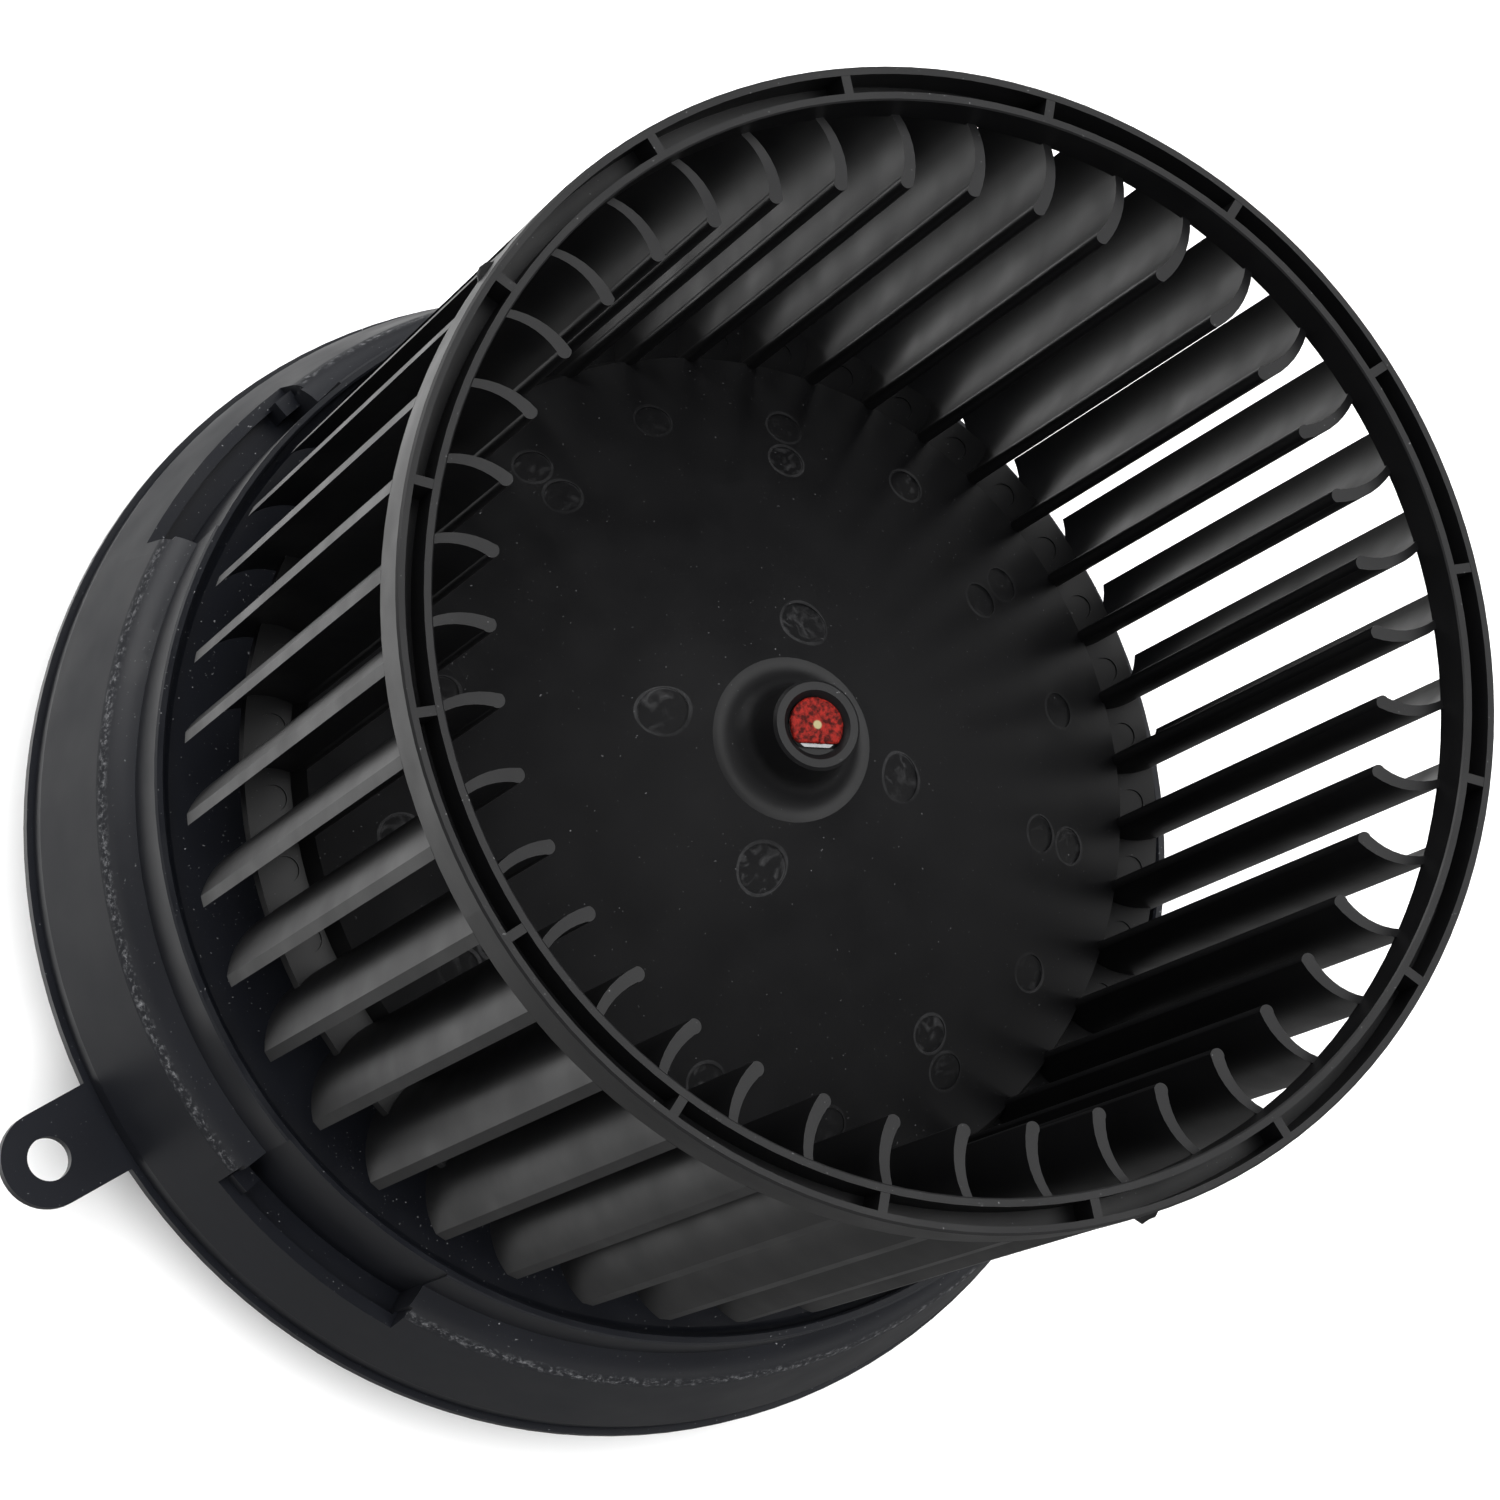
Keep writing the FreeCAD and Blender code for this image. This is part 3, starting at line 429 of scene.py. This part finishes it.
def makeLockPaint(values):
    deselect()
    height = (values["top"] - values["foot"]) * mm
    bpy.ops.mesh.primitive_cylinder_add(vertices=48, radius=values["radius"] * mm, depth=height,
                                        location=(0, 0, values["foot"] * mm + height / 2))
    piece = bpy.context.object
    bpy.ops.object.transform_apply(location=True, rotation=True, scale=True)
    bpy.ops.object.mode_set(mode="EDIT")
    bpy.ops.mesh.select_all(action="SELECT")
    turn = math.radians(values["flatSide"])
    side = Vector((math.cos(turn), math.sin(turn), 0))
    bpy.ops.mesh.bisect(plane_co=side * values["flatAt"] * mm, plane_no=side, use_fill=True,
                        clear_outer=True)
    bpy.ops.mesh.select_all(action="DESELECT")
    mesh = bmesh.from_edit_mesh(piece.data)
    for face in mesh.faces:
        face.select = face.normal.z > 0.9
    bmesh.update_edit_mesh(piece.data)
    bpy.ops.mesh.inset(thickness=values["crownIn"] * mm)
    bpy.ops.transform.translate(value=(0, 0, values["crownUp"] * mm))
    bpy.ops.object.mode_set(mode="OBJECT")
    coat = piece.modifiers.new("coat", "REMESH")
    coat.mode = "VOXEL"
    coat.voxel_size = values["voxel"] * mm
    bpy.ops.object.modifier_apply(modifier="coat")
    soft = piece.modifiers.new("soft", "SMOOTH")
    soft.factor = 0.5
    soft.iterations = 3
    bpy.ops.object.modifier_apply(modifier="soft")
    texture = bpy.data.textures.new("lumps", "CLOUDS")
    texture.noise_scale = values["lumpMm"] * mm
    lumps = piece.modifiers.new("lumps", "DISPLACE")
    lumps.texture = texture
    lumps.strength = values["lump"] * mm
    lumps.mid_level = 0.5
    bpy.ops.object.modifier_apply(modifier="lumps")
    finishPiece(piece, "thread_lock", "rotor", paintMaterial(values))


makeLockPaint(lockPaint)

# broken-off flash at the rim's foot, one nub on each side of the tool's parting plane
rimFlash = {"radius": 74.9, "height": 130.9, "length": 3.6, "proud": 1.1, "thick": 0.7,
            "angles": (294.4, 78.2), "cuts": 3, "shorter": 0.45, "thinner": 0.5, "torn": 0.35,
            "tearing": 900, "edge": 0.08}


def makeRimFlash(values):
    for index, angle in enumerate(values["angles"]):
        deselect()
        bpy.ops.mesh.primitive_cube_add(size=1,
                                        location=(values["radius"] * mm, 0, values["height"] * mm),
                                        scale=(2 * values["proud"] * mm, values["length"] * mm,
                                               values["thick"] * mm))
        piece = bpy.context.object
        bpy.ops.object.transform_apply(location=True, rotation=True, scale=True)
        bpy.ops.object.mode_set(mode="EDIT")
        bpy.ops.mesh.subdivide(number_cuts=values["cuts"])
        bpy.ops.mesh.select_all(action="DESELECT")
        mesh = bmesh.from_edit_mesh(piece.data)
        for vertex in mesh.verts:
            # the outer edge is shorter, thinner and torn
            out = max(0.0, vertex.co.x - values["radius"] * mm) / (values["proud"] * mm)
            middle = values["height"] * mm
            vertex.co.y *= 1 - values["shorter"] * out
            vertex.co.z = middle + (vertex.co.z - middle) * (1 - values["thinner"] * out)
            ragged = abs(math.sin(values["tearing"] * vertex.co.y + index))
            vertex.co.x -= values["torn"] * mm * out * ragged
            vertex.co.rotate(Euler((0, 0, math.radians(angle))))
        bmesh.update_edit_mesh(piece.data)
        bpy.ops.object.mode_set(mode="OBJECT")
        bevel = piece.modifiers.new("edges", "BEVEL")
        bevel.width = values["edge"] * mm
        bevel.limit_method = "ANGLE"
        bpy.ops.object.modifier_apply(modifier="edges")
        finishPiece(piece, "rim_flash_" + str(index + 1), "rotor",
                    finishes["wheel_polypropylene"])


makeRimFlash(rimFlash)
print("pieces: thread lock and rim flash")

# camera
cameraPlace = {"x": 289.14, "y": 3.91, "z": 671.36, "turn": (13.547, -21.797, 148.1194),
               "lens": 116.84, "sensor": 36}
cameraData = bpy.data.cameras.new("camera")
cameraData.lens = cameraPlace["lens"]
cameraData.sensor_width = cameraPlace["sensor"]
cameraData.clip_start = 0.01
camera = bpy.data.objects.new("camera", cameraData)
camera.location = [cameraPlace[k] * mm for k in "xyz"]
camera.rotation_euler = [math.radians(a) for a in cameraPlace["turn"]]
bpy.context.scene.collection.objects.link(camera)
bpy.context.scene.camera = camera

# white paper floor
paper = {"size": 20, "colour": "#f2f2f2", "roughness": 0.95, "specular": 0.1}
deselect()
bpy.ops.mesh.primitive_plane_add(size=paper["size"], location=(0, 0, cadBox[0][2]))
floor = bpy.context.object
floor.name = "floor"
floorParts = newMaterial("whitePaper", {})
floorShader = floorParts[2]
floorShader.inputs["Base Color"].default_value = hexColour(paper["colour"])
floorShader.inputs["Roughness"].default_value = paper["roughness"]
floorShader.inputs["Specular IOR Level"].default_value = paper["specular"]
floor.data.materials.append(floorParts[0])
# mirrored paper would whiten every upright wall, and the room lights those walls from below
floor.visible_glossy = False
floor.visible_shadow = False

# soft boxes: azimuth and height angle in degrees, distance and size in metres, power in watts;
# the fill only whitens the paper, so it isn't mirrored in the plastic
lamps = {
    "side": {"azimuth": 285, "rise": 24, "away": 1.1, "size": 0.8, "power": 5.0, "mirrored": True},
    "top": {"azimuth": 181, "rise": 68, "away": 1.1, "size": 0.7, "power": 2.4, "mirrored": True},
    "fill": {"azimuth": 240, "rise": 86, "away": 2.2, "size": 4.0, "power": 190.0, "mirrored": False},
}
aimHeight = 0.06
for name, lamp in lamps.items():
    data = bpy.data.lights.new(name, "AREA")
    data.shape = "SQUARE"
    data.size = lamp["size"]
    data.energy = lamp["power"]
    turn, rise = math.radians(lamp["azimuth"]), math.radians(lamp["rise"])
    light = bpy.data.objects.new(name, data)
    light.location = Vector((math.cos(turn) * math.cos(rise), math.sin(turn) * math.cos(rise),
                             math.sin(rise))) * lamp["away"]
    toPart = Vector((0, 0, aimHeight)) - light.location
    light.rotation_euler = toPart.to_track_quat("-Z", "Y").to_euler()
    light.visible_glossy = lamp["mirrored"]
    bpy.context.scene.collection.objects.link(light)

# the room by direction: a dim ground, a pale band of wall at eye level, and a lit table that
# only the downward directions on the -Y side see
room = {"dim": 0.2, "wall": 0.8, "wallRise": 0.26, "table": 1.25, "tableFrom": -0.24,
        "tableTo": 0.42, "belowFrom": -0.68, "belowTo": -0.86}
world = bpy.data.worlds.new("studio")
world.use_nodes = True
sky = world.node_tree
sky.nodes["Background"].inputs["Color"].default_value = (1, 1, 1, 1)
ray = addNode(sky, "ShaderNodeSeparateXYZ", {},
              {"Vector": addNode(sky, "ShaderNodeTexCoord").outputs["Generated"]})
upright = addNode(sky, "ShaderNodeMath", {"operation": "ABSOLUTE"}, {0: ray.outputs["Z"]})
wall = addNode(sky, "ShaderNodeMapRange",
               {"interpolation_type": "SMOOTHSTEP", "From Min": room["wallRise"],
                "From Max": 0.0, "To Max": room["wall"]}, {"Value": upright.outputs["Value"]})
left = addNode(sky, "ShaderNodeMath", {"operation": "MULTIPLY", 1: -1.0}, {0: ray.outputs["Y"]})
table = addNode(sky, "ShaderNodeMapRange",
                {"interpolation_type": "SMOOTHSTEP", "From Min": room["tableFrom"],
                 "From Max": room["tableTo"], "To Max": room["table"]},
                {"Value": left.outputs["Value"]})
below = addNode(sky, "ShaderNodeMapRange",
                {"From Min": room["belowFrom"], "From Max": room["belowTo"]},
                {"Value": ray.outputs["Z"]})
lit = addNode(sky, "ShaderNodeMath", {"operation": "MULTIPLY"},
              {0: table.outputs["Result"], 1: below.outputs["Result"]})
both = addNode(sky, "ShaderNodeMath", {"operation": "ADD"},
               {0: lit.outputs["Value"], 1: wall.outputs["Result"]})
glow = addNode(sky, "ShaderNodeMath", {"operation": "ADD", 1: room["dim"]},
               {0: both.outputs["Value"]})
sky.links.new(glow.outputs["Value"], sky.nodes["Background"].inputs["Strength"])
bpy.context.scene.world = world
bpy.context.scene.view_settings.view_transform = "Standard"
print("camera, floor and light")
